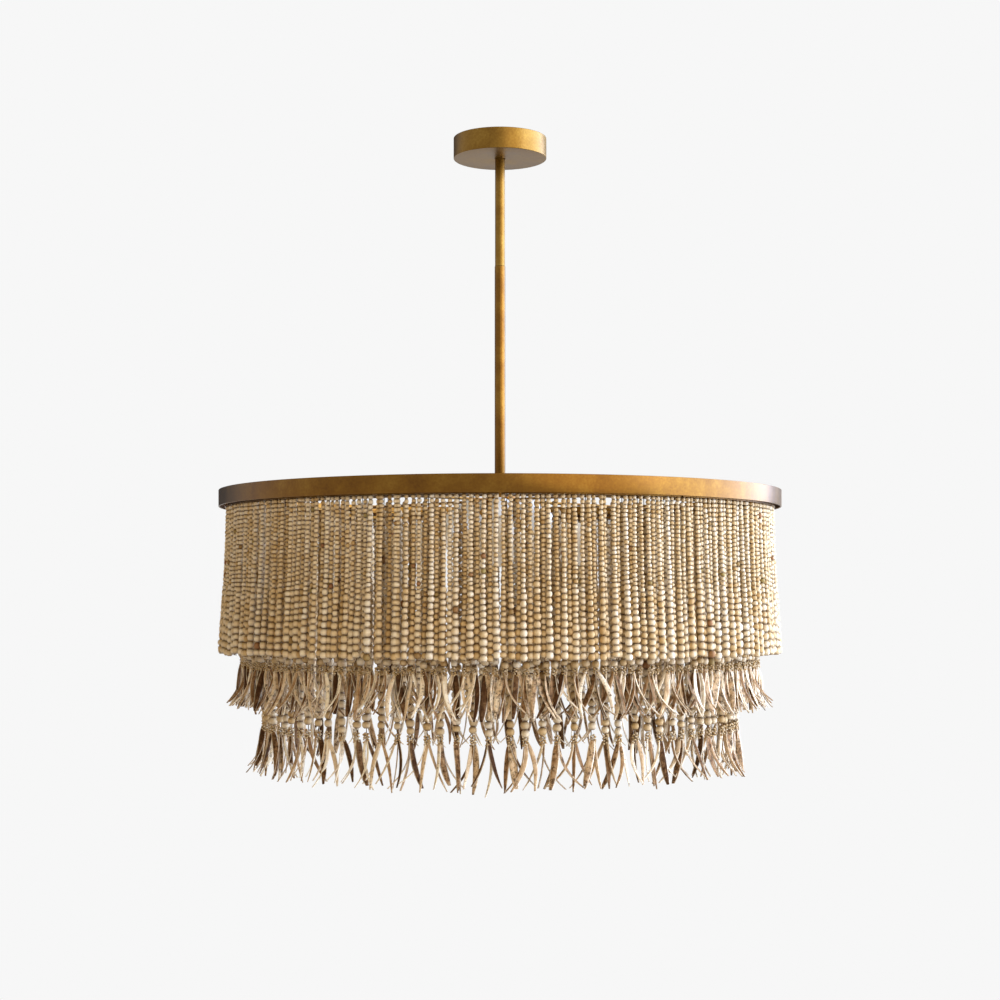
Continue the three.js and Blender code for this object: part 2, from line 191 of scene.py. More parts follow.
# Finishes: a noise is its scale per metre, its detail and its roughness, a bump its strength and depth
brassSet = {
    "shader": {"Metallic": 1.0, "Coat_Weight": 0.2, "Coat_Roughness": 0.3},
    "clouds": (24, 5, 0.6), "specks": (380, 3, 0.55), "cloudShare": 0.7, "stops": (0.34, 0.5, 0.66),
    "roughSpread": 0.16, "pits": (900, 2, 0.5), "bump": (0.06, 0.2 * mm),
}
bandBrass = {"colors": ((0.106, 0.04, 0.0024), (0.152, 0.064, 0.0045), (0.205, 0.1, 0.011)), "rough": 0.31}
# the canopy's colours are the band's brass made lighter: painted light on the canopy and the upper pipe
litCanopyBrass = {"colors": ((0.148, 0.068, 0.006), (0.198, 0.101, 0.012), (0.252, 0.142, 0.024)), "rough": 0.41}
beadFinish = {
    "shader": {"Specular_IOR_Level": 0.09},
    "fibre": (420, 3, 0.6), "stretch": (1, 1, 0.22), "toneShare": 0.8, "fibreShare": 0.28,
    "plain": (
        (0.0, (0.42, 0.235, 0.08)),
        (0.3, (0.65, 0.445, 0.21)),
        (0.7, (0.81, 0.645, 0.42)),
        (1.0, (0.9, 0.79, 0.61)),
    ),
    "odd": ((0.0, (0.33, 0.15, 0.07)), (1.0, (0.36, 0.27, 0.1))),
    # hole: the dark colour of a bead's ends, both the drilled hole and painted shade where the beads touch
    "hole": (0.062, 0.022, 0.004), "rough": 0.42, "roughSpread": 0.2, "bump": (0.25, 0.4 * mm),
}
barkFinish = {
    "shader": {"Specular_IOR_Level": 0.1},
    "clouds": (90, 4, 0.65), "fibre": (420, 3, 0.6), "stretch": (1, 1, 0.12), "cloudShare": 0.6,
    "speckle": (170, 5, 0.75), "darkSpeckle": 0.07, "spots": ((0.54, (0, 0, 0)), (0.66, (1, 1, 1))),
    "spotShare": 0.85, "spotColor": (0.045, 0.017, 0.005),
    "toneShare": 0.5, "grainShare": 0.68, "darkShare": 0.12,
    "colors": (
        (0.24, (0.065, 0.026, 0.008)),
        (0.46, (0.34, 0.19, 0.085)),
        (0.62, (0.7, 0.5, 0.295)),
        (0.8, (0.95, 0.83, 0.63)),
    ),
    # the rims are pale: pale cut wood, brightened as a painted highlight
    "cutEdgeAndHighlight": ((0.4, (0.4, 0.4, 0.4)), (0.54, (1, 1, 1))), "edgeColor": (0.94, 0.81, 0.6),
    "rough": 0.5, "roughSpread": 0.3, "bump": (0.3, 0.6 * mm),
}
cloudySet = {"detail": (3, 0.6), "stops": (0.35, 0.65), "roughSpread": 0.12, "bump": (0.1, 0.2 * mm)}
cloudyFinishes = {
    "zincSteel": {
        "colors": ((0.45, 0.46, 0.47), (0.62, 0.63, 0.64)), "scale": 300, "rough": 0.35,
        "shader": {"Metallic": 1.0},
    },
    "porcelain": {
        "colors": ((0.76, 0.75, 0.71), (0.82, 0.81, 0.78)), "scale": 60, "rough": 0.2,
        "shader": {"Coat_Weight": 0.4},
    },
    "cableSleeve": {
        "colors": ((0.03, 0.018, 0.008), (0.07, 0.045, 0.02)), "scale": 900, "rough": 0.8, "shader": {},
    },
    "frostedGlass": {
        "colors": ((0.76, 0.64, 0.47), (0.83, 0.72, 0.55)), "scale": 80, "rough": 0.4,
        "shader": {"Transmission_Weight": 0.35},
    },
}


def agedBrass(name, look, s):
    f = Finish(name, **s["shader"])
    clouds = f.noise(*s["clouds"])
    tone = clouds * s["cloudShare"] + f.noise(*s["specks"]) * (1 - s["cloudShare"])
    f.set(Base_Color=f.ramp(tone, tuple(zip(s["stops"], look["colors"]))))
    f.set(Roughness=look["rough"] - s["roughSpread"] / 2 + clouds * s["roughSpread"])
    f.bump(f.noise(*s["pits"]), *s["bump"])
    return f.material


def beadWood(name, s):
    f = Finish(name, **s["shader"])
    tone = f.attribute("tone")
    fibre = f.noise(*s["fibre"], s["stretch"])
    plain = f.ramp(tone * s["toneShare"] + fibre * s["fibreShare"], s["plain"])
    color = f.mix(f.attribute("odd"), plain, f.ramp(tone, s["odd"]))
    # the ends of each bead are mixed towards the dark hole colour by the shade mask: the hole itself, and
    # painted shade where the beads touch
    color = f.mix(f.attribute("shade"), color, s["hole"])
    f.set(Base_Color=color, Roughness=s["rough"] + fibre * s["roughSpread"])
    f.bump(fibre, *s["bump"])
    return f.material


def barkWood(name, s):
    f = Finish(name, **s["shader"])
    dark = f.attribute("odd")
    fibre = f.noise(*s["fibre"], s["stretch"])
    grain = f.noise(*s["clouds"]) * s["cloudShare"] + fibre * (1 - s["cloudShare"])
    spots = f.ramp(f.noise(*s["speckle"]) + dark * s["darkSpeckle"], s["spots"])
    tone = f.attribute("tone") * s["toneShare"] + grain * s["grainShare"] - dark * s["darkShare"]
    color = f.mix(spots * s["spotShare"], f.ramp(tone, s["colors"]), s["spotColor"])
    # the rims are mixed towards the pale edge colour: cut wood, and a painted highlight along them
    edge = f.attribute("shade") * f.ramp(grain, s["cutEdgeAndHighlight"])
    color = f.mix(edge, color, s["edgeColor"])
    f.set(Base_Color=color, Roughness=s["rough"] + grain * s["roughSpread"])
    f.bump(grain, *s["bump"])
    return f.material


def cloudyFinish(name, look, s):
    f = Finish(name, **look["shader"])
    cloud = f.noise(look["scale"], *s["detail"])
    f.set(Base_Color=f.ramp(cloud, tuple(zip(s["stops"], look["colors"]))))
    f.set(Roughness=look["rough"] - s["roughSpread"] / 2 + cloud * s["roughSpread"])
    f.bump(cloud, *s["bump"])
    return f.material


brass = agedBrass("agedBrass", bandBrass, brassSet)
# a lighter copy of the same brass: painted light
litBrass = agedBrass("litBrass", litCanopyBrass, brassSet)
wood = beadWood("beadWood", beadFinish)
bark = barkWood("barkWood", barkFinish)
plainFinishes = {name: cloudyFinish(name, look, cloudySet) for name, look in cloudyFinishes.items()}
print("finishes made")


# Modelling helpers
def startFresh():
    if bpy.context.object and bpy.context.object.mode != "OBJECT":
        bpy.ops.object.mode_set(mode="OBJECT")
    bpy.ops.object.select_all(action="DESELECT")


def applyPlace():
    bpy.ops.object.transform_apply(location=True, rotation=True, scale=True)


def finishPiece(piece, name, material, body, replaces=(), smooth=35):
    startFresh()
    bpy.context.view_layer.objects.active = piece
    piece.select_set(True)
    applyPlace()
    for modifier in list(piece.modifiers):
        bpy.ops.object.modifier_apply(modifier=modifier.name)
    bpy.ops.object.shade_smooth_by_angle(angle=math.radians(smooth))
    piece.name = piece.data.name = name
    piece.data.materials.clear()
    piece.data.materials.append(material)
    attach(piece, body)
    if replaces:
        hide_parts(*replaces)


def editAll():
    bpy.ops.object.mode_set(mode="EDIT")
    bpy.ops.mesh.select_all(action="SELECT")


def turned(outline, sides, closed=False):
    # a round shape: a circle is extruded from one [radius, height] to the next
    startFresh()
    radius, height = outline[0]
    bpy.ops.mesh.primitive_circle_add(vertices=sides, radius=radius, location=(0, 0, height))
    piece = bpy.context.object
    applyPlace()
    editAll()
    path = list(outline[1:]) + ([outline[0]] if closed else [])
    for nextRadius, nextHeight in path:
        move = {"value": (0, 0, nextHeight - height)}
        bpy.ops.mesh.extrude_edges_move(TRANSFORM_OT_translate=move)
        grow = nextRadius / radius
        bpy.ops.transform.resize(value=(grow, grow, 1), center_override=(0, 0, nextHeight))
        radius, height = nextRadius, nextHeight
    bpy.ops.mesh.select_all(action="SELECT")
    bpy.ops.mesh.remove_doubles(threshold=mergeGap)
    if not closed:
        bpy.ops.mesh.select_all(action="DESELECT")
        bpy.ops.mesh.select_mode(type="EDGE")
        bpy.ops.mesh.select_non_manifold(extend=False)
        bpy.ops.mesh.edge_face_add()
        bpy.ops.mesh.select_mode(type="VERT")
        bpy.ops.mesh.select_all(action="SELECT")
    bpy.ops.mesh.normals_make_consistent(inside=False)
    bpy.ops.object.mode_set(mode="OBJECT")
    return piece


def bevelled(piece, width, segments=3, angle=30):
    bevel = piece.modifiers.new("bevel", "BEVEL")
    bevel.width, bevel.segments = width, segments
    bevel.limit_method, bevel.angle_limit = "ANGLE", math.radians(angle)
    return piece


# Canopy and stem
canopySet = {"wall": 1.5 * mm, "hole": 7.15 * mm, "edge": 0.7 * mm, "edgeSteps": 4, "sides": 160}
pipeSet = {"bore": 5.3 * mm, "edge": 0.25 * mm, "sides": 64}


def makeCanopy(s):
    radius = (canopyHigh.x - canopyLow.x) / 2
    inner = radius - s["wall"]
    floor, top = canopyLow.z, canopyHigh.z
    ledge = floor + s["wall"]
    outline = [
        (s["hole"], floor), (radius, floor), (radius, top), (inner, top), (inner, ledge), (s["hole"], ledge),
    ]
    piece = bevelled(turned(outline, s["sides"], closed=True), s["edge"], s["edgeSteps"])
    # the canopy takes the lighter copy of the brass: painted light
    finishPiece(piece, "canopyShell", litBrass, "canopy", ["canopy"])


def makePipe(name, low, high, node, material, s):
    radius = (high.x - low.x) / 2
    outline = [(s["bore"], low.z), (radius, low.z), (radius, high.z), (s["bore"], high.z)]
    piece = bevelled(turned(outline, s["sides"], closed=True), s["edge"])
    finishPiece(piece, name, material, "frame", [node])


makeCanopy(canopySet)
# the upper pipe takes the lighter copy of the brass: painted light
makePipe("upperPipe", upperLow, upperHigh, "upper_stem_pipe", litBrass, pipeSet)
makePipe("lowerPipe", lowerLow, lowerHigh, "lower_stem_pipe", brass, pipeSet)
print("canopy and stem made")


# Band, rings and spokes
bandSet = {"wall": 2 * mm, "edge": 0.35 * mm, "sides": 288}
ringSet = {"wire": 2.45 * mm, "around": 180, "across": 12, "smooth": 60}
spokeSet = {"count": 4, "edge": 0.6 * mm}


def makeBand(s):
    radius = (bandHigh.x - bandLow.x) / 2
    inner = radius - s["wall"]
    outline = [(inner, bandLow.z), (radius, bandLow.z), (radius, bandHigh.z), (inner, bandHigh.z)]
    piece = bevelled(turned(outline, s["sides"], closed=True), s["edge"])
    finishPiece(piece, "bandHoop", brass, "frame", ["band"])


def makeRing(tier, s):
    low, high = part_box(f"{tier}_ring")
    startFresh()
    bpy.ops.mesh.primitive_torus_add(
        major_radius=(high.y - low.y) / 2 - s["wire"],
        minor_radius=s["wire"],
        major_segments=s["around"],
        minor_segments=s["across"],
        location=(0, 0, (low.z + high.z) / 2),
    )
    ring = bpy.context.object
    finishPiece(ring, f"{tier}Ring", brass, "frame", [f"{tier}_ring"], s["smooth"])


def makeSpoke(number, s):
    # a merged copy of the CAD's bar, with its edges softened
    node = nodes[f"spoke_{number}"]
    startFresh()
    bar = node.copy()
    bar.data = node.data.copy()
    bar.parent = None
    bpy.context.scene.collection.objects.link(bar)
    bpy.context.view_layer.objects.active = bar
    editAll()
    bpy.ops.mesh.remove_doubles(threshold=mergeGap)
    bpy.ops.mesh.tris_convert_to_quads()
    bpy.ops.object.mode_set(mode="OBJECT")
    for key in ("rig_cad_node", "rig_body"):  # what marks the node itself
        if key in bar:
            del bar[key]
    bevelled(bar, s["edge"])
    finishPiece(bar, f"spokeBar{number}", brass, "frame", [node.name])


makeBand(bandSet)
for tier in ("outer", "middle", "inner"):
    makeRing(tier, ringSet)
for number in range(1, spokeSet["count"] + 1):
    makeSpoke(number, spokeSet)
print("band, rings and spokes made")


# Hub, lamp holders and bulbs
hubSet = {
    "socket": 7.55 * mm, "neck": 12 * mm, "shoulder": 12 * mm, "wall": 3 * mm, "edge": 0.8 * mm, "sides": 96,
}
finialSet = {
    "radius": 7 * mm, "height": 9 * mm, "plate": 3 * mm, "edge": 0.5 * mm, "edgeSteps": 3, "edgeAngle": 50,
    "firstTurn": 0.12, "turns": 0.86, "sides": 96, "steps": 10,
}
lampSet = {
    "count": 4, "tilt": 35, "drop": 14 * mm, "armStart": 20 * mm, "arm": 5 * mm, "start": 40 * mm,
    "length": 46 * mm, "radius": 17 * mm, "bore": 13.3 * mm, "floor": 6 * mm, "edge": 1.2 * mm, "sides": 48,
}
bulbSet = {
    "gap": 0.3 * mm, "base": 13 * mm, "globe": 30 * mm, "length": 108 * mm, "neckReach": 3 * mm,
    "neckTurn": 0.35, "tipTurn": 0.02, "steps": 14, "smooth": 50,
}


def makeHub(s):
    radius = hubHigh.x
    shoulder = hubHigh.z - s["shoulder"]
    inner = radius - s["wall"]
    ceiling = shoulder - s["wall"]
    outline = [
        (s["socket"], hubHigh.z), (s["neck"], hubHigh.z), (s["neck"], shoulder), (radius, shoulder),
        (radius, hubLow.z), (inner, hubLow.z), (inner, ceiling), (s["socket"], ceiling),
    ]
    piece = bevelled(turned(outline, s["sides"], closed=True), s["edge"])
    finishPiece(piece, "hubShell", brass, "frame", ["hub_body"])


def makeFinial(s):
    radius = capHigh.x
    bottom = capHigh.z - s["plate"]
    knob = []
    for step in range(s["steps"] + 1):
        turn = math.pi * (s["firstTurn"] + s["turns"] * step / s["steps"])
        knob.append((s["radius"] * math.sin(turn), bottom - s["height"] * (1 - math.cos(turn)) / 2))
    outline = [(radius, capHigh.z), (radius, bottom)] + knob
    piece = bevelled(turned(outline, s["sides"]), s["edge"], s["edgeSteps"], s["edgeAngle"])
    finishPiece(piece, "hubFinial", brass, "frame", ["hub_cap"])


def alongLamp(piece, index, s):
    # stands along +Z from its origin, and is laid outwards and down along a lamp's axis
    tilt = math.pi / 2 + math.radians(s["tilt"])
    turn = Matrix.Rotation(index * 2 * math.pi / s["count"], 4, "Z") @ Matrix.Rotation(tilt, 4, "Y")
    piece.matrix_world = Matrix.Translation((0, 0, hubHigh.z - s["drop"])) @ turn


def makeHolder(index, s):
    number = index + 1
    end = s["start"] + s["length"]
    floor = s["start"] + s["floor"]
    outline = [
        (s["arm"] / 2, s["armStart"]), (s["arm"], s["armStart"]), (s["arm"], s["start"]),
        (s["radius"], s["start"]), (s["radius"], end), (s["bore"], end),
        (s["bore"], floor), (s["arm"] / 2, floor),
    ]
    cup = bevelled(turned(outline, s["sides"], closed=True), s["edge"])
    alongLamp(cup, index, s)
    material = plainFinishes["porcelain"]
    finishPiece(cup, f"holderCup{number}", material, "frame", [f"lamp_holder_{number}"])


def makeBulb(index, lamp, s):
    number = index + 1
    start = lamp["start"] + lamp["floor"] + s["gap"]
    neck = lamp["start"] + lamp["length"] + s["neckReach"]
    middle = start + s["length"] - s["globe"]
    outline = [(s["base"] / 2, start), (s["base"], start + s["base"] / 2), (s["base"], neck)]
    first = math.asin(s["base"] / s["globe"]) + s["neckTurn"]
    for step in range(s["steps"] + 1):
        turn = first + (math.pi - s["tipTurn"] - first) * step / s["steps"]
        outline.append((s["globe"] * math.sin(turn), middle - s["globe"] * math.cos(turn)))
    bulb = turned(outline, lamp["sides"])
    alongLamp(bulb, index, lamp)
    material, body = plainFinishes["frostedGlass"], f"bulb_{number}"
    finishPiece(bulb, f"bulbGlobe{number}", material, body, [body], s["smooth"])


makeHub(hubSet)
makeFinial(finialSet)
for index in range(lampSet["count"]):
    makeHolder(index, lampSet)
    makeBulb(index, lampSet, bulbSet)
print("hub, lamp holders and bulbs made")


# Shapes that repeat: a bead, a tiny bead, one length of thread, and slivers of bark
# A bead starts as a sphere one unit across: a swell widens it between two heights
beadSet = {
    "sides": 8, "rings": 6, "pole": 0.49, "dimple": 0.08, "holeAndShadeFade": 0.28,
    "swells": [(0.38, 0.5, 1.12), (0.2, 0.3, 1.03)],
}
tinySet = {"sides": 6, "rings": 4, "pole": 0.49, "dimple": 0.05, "holeAndShadeFade": 0.28, "swells": []}
# a thread's shade takes it most of the way to the beads' dark end colour: a dark cord, darkened further as
# painted shade in the gaps between beads
threadSet = {"sides": 5, "shade": 0.8}
sliverSet = {
    "corners": 8, "width": 9 * mm, "thick": 2.1 * mm, "length": 56 * mm, "hookPower": 2.2, "curlPower": 2.3,
    "edgeShare": 0.9,
}
sliverKinds = [
    {
        "widths": [0.6, 0.92, 1.0, 1.0, 0.97, 0.9, 0.76, 0.4],
        "bow": 0, "hook": 0.03, "curl": 0.2, "twist": 8, "dark": 1,
    },
    {
        "widths": [0.55, 0.82, 0.9, 0.9, 0.84, 0.72, 0.55, 0.26],
        "bow": 0.03, "hook": 0.08, "curl": 0.36, "twist": -14, "dark": 0.7,
    },
    {
        "widths": [0.4, 0.54, 0.58, 0.57, 0.53, 0.47, 0.4, 0.22],
        "bow": 0, "hook": 0.12, "curl": 0.48, "twist": 16, "dark": 0,
    },
    {
        "widths": [0.36, 0.5, 0.54, 0.54, 0.5, 0.44, 0.36, 0.2],
        "bow": 0.05, "hook": 0.04, "curl": 0.44, "twist": -20, "dark": 0,
    },
    {
        "widths": [0.44, 0.62, 0.68, 0.67, 0.6, 0.52, 0.42, 0.22],
        "bow": -0.04, "hook": 0.16, "curl": 0.36, "twist": 12, "dark": 0.2,
    },
    {
        "widths": [0.5, 0.75, 0.82, 0.8, 0.75, 0.66, 0.52, 0.27],
        "bow": 0.04, "hook": 0, "curl": 0.14, "twist": -8, "dark": 0.5,
    },
    {
        "widths": [0.38, 0.54, 0.6, 0.6, 0.56, 0.49, 0.4, 0.22],
        "bow": 0.1, "hook": 0, "curl": 0.46, "twist": 6, "dark": 0,
    },
]


def shapeOf(piece, shade):
    # reads a modelled piece into arrays, so that it can be laid many times into one mesh
    mesh = piece.data
    points = np.zeros(len(mesh.vertices) * 3, np.float32)
    mesh.vertices.foreach_get("co", points)
    corners = np.zeros(len(mesh.loops), np.int32)
    mesh.loops.foreach_get("vertex_index", corners)
    starts = np.zeros(len(mesh.polygons), np.int32)
    mesh.polygons.foreach_get("loop_start", starts)
    points = points.reshape(-1, 3)
    shape = {"points": points, "corners": corners, "starts": starts, "shade": shade(points)}
    bpy.data.objects.remove(piece)
    return shape


def selectHeights(piece, lowest, highest, way):
    bpy.ops.mesh.select_all(action="DESELECT")
    bpy.ops.object.mode_set(mode="OBJECT")
    for vertex in piece.data.vertices:
        vertex.select = lowest < vertex.co.z * way <= highest
    bpy.ops.object.mode_set(mode="EDIT")


def modelBead(s):
    # the poles are pushed in, where the hole is, and what lies beside them is widened
    startFresh()
    bpy.ops.mesh.primitive_uv_sphere_add(segments=s["sides"], ring_count=s["rings"], radius=0.5)
    piece = bpy.context.object
    bpy.ops.object.mode_set(mode="EDIT")
    for way in (1, -1):
        selectHeights(piece, s["pole"], 1, way)
        bpy.ops.transform.translate(value=(0, 0, -way * s["dimple"]))
        for lowest, highest, grow in s["swells"]:
            selectHeights(piece, lowest, highest, way)
            bpy.ops.transform.resize(value=(grow, grow, 1), center_override=(0, 0, 0))
    bpy.ops.object.mode_set(mode="OBJECT")
    # the shade mask is 1 at the poles and fades to 0 towards the equator: the hole, and painted shade where
    # the beads touch
    return shapeOf(piece, lambda p: np.clip((0.5 - np.hypot(p[:, 0], p[:, 1])) / s["holeAndShadeFade"], 0, 1))


def modelThread(s):
    startFresh()
    bpy.ops.mesh.primitive_cylinder_add(vertices=s["sides"], radius=0.5, depth=1)
    piece = bpy.context.object
    editAll()
    bpy.ops.mesh.subdivide(number_cuts=1)
    bpy.ops.object.mode_set(mode="OBJECT")
    return shapeOf(piece, lambda p: np.full(len(p), s["shade"]))


def modelSliver(kind, s):
    # hangs from the origin with its broad side facing +X, and is extruded downwards step by step
    startFresh()
    bpy.ops.mesh.primitive_circle_add(vertices=s["corners"], radius=0.5, fill_type="NGON")
    piece = bpy.context.object
    top, *widths = kind["widths"]
    piece.scale = (s["thick"], s["width"] * top, 1)
    bpy.ops.object.transform_apply(location=False, rotation=False, scale=True)
    editAll()
    count = len(widths)
    width, aside, out = top, 0, 0
    for step, nextWidth in enumerate(widths, 1):
        share = step / count
        sideways = kind["bow"] * math.sin(math.pi * share) + kind["hook"] * share ** s["hookPower"]
        nextAside = s["length"] * sideways
        nextOut = s["length"] * kind["curl"] * share ** s["curlPower"]
        move = (nextOut - out, nextAside - aside, -s["length"] / count)
        bpy.ops.mesh.extrude_region_move(TRANSFORM_OT_translate={"value": move})
        middle = (nextOut, nextAside, -s["length"] * share)
        bpy.ops.transform.resize(value=(1, nextWidth / width, 1), center_override=middle)
        turn = math.radians(kind["twist"] / count)
        bpy.ops.transform.rotate(value=turn, orient_axis="Z", center_override=middle)
        width, aside, out = nextWidth, nextAside, nextOut
    bpy.ops.mesh.select_all(action="SELECT")
    bpy.ops.mesh.normals_make_consistent(inside=False)
    bpy.ops.object.mode_set(mode="OBJECT")

    def rim(points):
        # the outermost corners of each ring are the pale cut edges, also a painted highlight along the rims
        shade = np.zeros(len(points))
        for level in np.unique(np.round(points[:, 2] / mm)):
            ring = np.where(np.abs(points[:, 2] / mm - level) < 1)[0]
            across = np.abs(points[ring, 1] - points[ring, 1].mean())
            shade[ring[across > s["edgeShare"] * across.max()]] = 1
        return shade

    return {**shapeOf(piece, rim), "dark": kind["dark"]}


bead = modelBead(beadSet)
tinyBead = modelBead(tinySet)
thread = modelThread(threadSet)
slivers = [modelSliver(kind, sliverSet) for kind in sliverKinds]
print("faces in a bead:", len(bead["starts"]), "and in a sliver:", len(slivers[0]["starts"]))


# Strands. A run is a number of beads, their width and their share of the strand's length
tierSets = {
    "outer": {
        "strands": 30, "length": 197 * mm, "flare": 7.5 * mm, "stagger": 3 * mm, "thread": 2 * mm,
        "runs": [(21, 5.7 * mm, 5.45), (5, 7.2 * mm, 7.3), (5, 8.7 * mm, 8.9)], "wander": 1,
        "scatter": 0.13, "uneven": 0.06, "ragged": 1.6 * mm,
    },
    "middle": {
        "strands": 18, "length": 206 * mm, "flare": 4 * mm, "stagger": 0.8 * mm, "thread": 9 * mm,
        "runs": [(16, 6.4 * mm, 6.0), (11, 9.4 * mm, 9.0)], "wander": 1,
        "scatter": 0.1, "uneven": 0.02, "ragged": 2 * mm,
        "tiny": 15, "tinySize": 3.2 * mm, "knot": 2.5 * mm, "neck": 10 * mm,
        "slivers": (3, 4), "sliver": 57 * mm, "fan": 4, "lean": -3,
    },
    "inner": {
        "strands": 10, "length": 288 * mm, "flare": 5 * mm, "stagger": 0.6 * mm, "thread": 17 * mm,
        "runs": [(29, 10.1 * mm, 9.3)], "wander": 0,
        "scatter": 0.08, "uneven": 0.02, "ragged": 3 * mm,
        "tiny": 16, "tinySize": 3.4 * mm, "knot": 2.8 * mm, "neck": 12 * mm,
        "slivers": (3, 3), "sliver": 60 * mm, "fan": 5, "lean": -2,
    },
}
sectorCount = 10
sectorTurn = 2 * math.pi / sectorCount
# What all tiers share: a spread says how far a random draw strays from its middle
strandSet = {
    "front": (0.15, 1), "staggerSpread": 0.6 * mm, "driftSpread": 0.8 * mm, "bowSpread": 0.7 * mm,
    # rowShade: painted shade, strands that hang behind are made darker and those in front lighter
    "growSpread": 0.03, "tone": 0.5, "rowShade": 0.14, "toneSpread": 0.12,
    "flarePower": 1.6, "topStagger": 0.3, "threadWidth": 1.1 * mm, "threadTone": 0.1, "threadNeck": 0.8,
}
stringSet = {
    "sizeSpread": 0.045, "stepSpread": 0.06, "end": -0.5, "endSpread": 1, "endLimits": (-2, 1),
    "height": 1.12, "oddShare": 0.012, "toneSpread": 0.15, "asideSpread": 0.25 * mm, "outSpread": 0.2 * mm,
}
knotSet = {"sizeSpread": 0.1, "turn": 2.4, "turnSpread": 0.6, "height": 0.85, "mostTone": 0.7}
fringeSet = {
    "fanSpread": 4, "leanSpread": 6, "facingShare": 0.45, "facingSpin": (0, 28), "facingCurl": 0.75,
    "edgeSpin": (75, 20), "mostSpin": 86, "edgeWays": [1, 1, 1, -1], "lengthSpread": 0.07,
    "widthShares": (0.85, 1.2), "tuck": (1 * mm, 6 * mm), "apart": 1.5 * mm, "outSpread": 1.2 * mm,
}


def turnZ(angle):
    c, s = math.cos(angle), math.sin(angle)
    return np.array([[c, -s, 0], [s, c, 0], [0, 0, 1]])


def layShape(batch, shape, origin, basis, tone, odd=0.0):
    batch.append((shape, origin, basis, tone, odd))


def meshOfBatch(name, batch):
    # groups the batch by shape, lays each group at once, and writes one mesh
    points, corners, starts, tones, odds, shades = [], [], [], [], [], []
    pointCount = cornerCount = 0
    kinds = []
    for row in batch:
        if not any(row[0] is kind for kind in kinds):
            kinds.append(row[0])
    for kind in kinds:
        rows = [row for row in batch if row[0] is kind]
        origins = np.array([row[1] for row in rows])
        bases = np.array([row[2] for row in rows])
        count, size = len(rows), len(kind["points"])
        laid = np.einsum("bij,nj->bni", bases, kind["points"]) + origins[:, None]
        points.append(laid.reshape(-1, 3))
        shift = pointCount + np.arange(count)[:, None] * size
        corners.append((kind["corners"][None] + shift).ravel())
        loopShift = cornerCount + np.arange(count)[:, None] * len(kind["corners"])
        starts.append((kind["starts"][None] + loopShift).ravel())
        tones.append(np.repeat([row[3] for row in rows], size))
        odds.append(np.repeat([row[4] for row in rows], size))
        shades.append(np.tile(kind["shade"], count))
        pointCount += count * size
        cornerCount += count * len(kind["corners"])
    mesh = bpy.data.meshes.new(name)
    mesh.vertices.add(pointCount)
    mesh.vertices.foreach_set("co", np.concatenate(points).astype(np.float32).ravel())
    mesh.loops.add(cornerCount)
    mesh.loops.foreach_set("vertex_index", np.concatenate(corners).astype(np.int32))
    allStarts = np.concatenate(starts).astype(np.int32)
    mesh.polygons.add(len(allStarts))
    mesh.polygons.foreach_set("loop_start", allStarts)
    mesh.polygons.foreach_set("use_smooth", np.ones(len(allStarts), bool))
    mesh.update(calc_edges=True)
    for key, values in (("tone", tones), ("odd", odds), ("shade", shades)):
        attribute = mesh.attributes.new(key, "FLOAT", "POINT")
        attribute.data.foreach_set("value", np.concatenate(values).astype(np.float32))
    return mesh


def addBatch(name, batch, material, body):
    mesh = meshOfBatch(name, batch)
    piece = bpy.data.objects.new(name, mesh)
    bpy.context.scene.collection.objects.link(piece)
    mesh.materials.append(material)
    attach(piece, body)
    return piece


def beadRun(s, grow):
    # the places down the strand, the widths and the lengths of its beads
    b = stringSet
    sizes, steps = [], []
    for count, size, step in s["runs"]:
        count = round(count / grow) + int(dice.integers(-s["wander"], s["wander"] + 1))
        for _ in range(count):
            sizes.append(size * grow * dice.normal(1, b["sizeSpread"]))
            steps.append(step)
    steps = np.array(steps) * dice.normal(1, b["stepSpread"], len(steps))
    end = np.clip(dice.normal(b["end"], b["endSpread"]), *b["endLimits"]) * s["ragged"]
    steps *= (s["length"] - s["thread"] + end) / steps.sum()
    middles = s["thread"] + np.cumsum(steps) - steps / 2
    return zip(middles, sizes, steps)


def layBeads(beads, s, strand, grow):
    b = stringSet
    out, side, at = strand["out"], strand["side"], strand["at"]
    for down, size, step in beadRun(s, grow):
        basis = turnZ(dice.uniform(0, 2 * math.pi)) @ np.diag([size, size, step * b["height"]])
        odd = float(dice.uniform() < b["oddShare"])
        tone = dice.uniform() if odd else np.clip(dice.normal(strand["tone"], b["toneSpread"]), 0, 1)
        place = at(down) + side * dice.normal(0, b["asideSpread"]) + out * dice.normal(0, b["outSpread"])
        layShape(beads, bead, place, basis, tone, odd)


def layThread(beads, s, strand):
    t = strandSet
    out, side, at = strand["out"], strand["side"], strand["at"]
    end = s["length"] + s.get("neck", 0) * t["threadNeck"]
    rise = (at(0) - at(end)) / end
    basis = np.column_stack([out * t["threadWidth"], side * t["threadWidth"], rise * end])
    layShape(beads, thread, at(end / 2), basis, t["threadTone"])


def layKnot(beads, s, strand):
    # tiny beads wound round the thread, where it ties the slivers
    b = knotSet
    out, side, at = strand["out"], strand["side"], strand["at"]
    for number in range(s["tiny"]):
        size = s["tinySize"] * dice.normal(1, b["sizeSpread"])
        down = s["length"] + (number + 0.5) * s["neck"] / s["tiny"]
        around = number * b["turn"] + dice.uniform(0, b["turnSpread"])
        place = at(down) + (side * math.sin(around) + out * math.cos(around)) * s["knot"]
        basis = turnZ(around) @ np.diag([size, size, size * b["height"]])
        layShape(beads, tinyBead, place, basis, dice.uniform(0, b["mostTone"]))


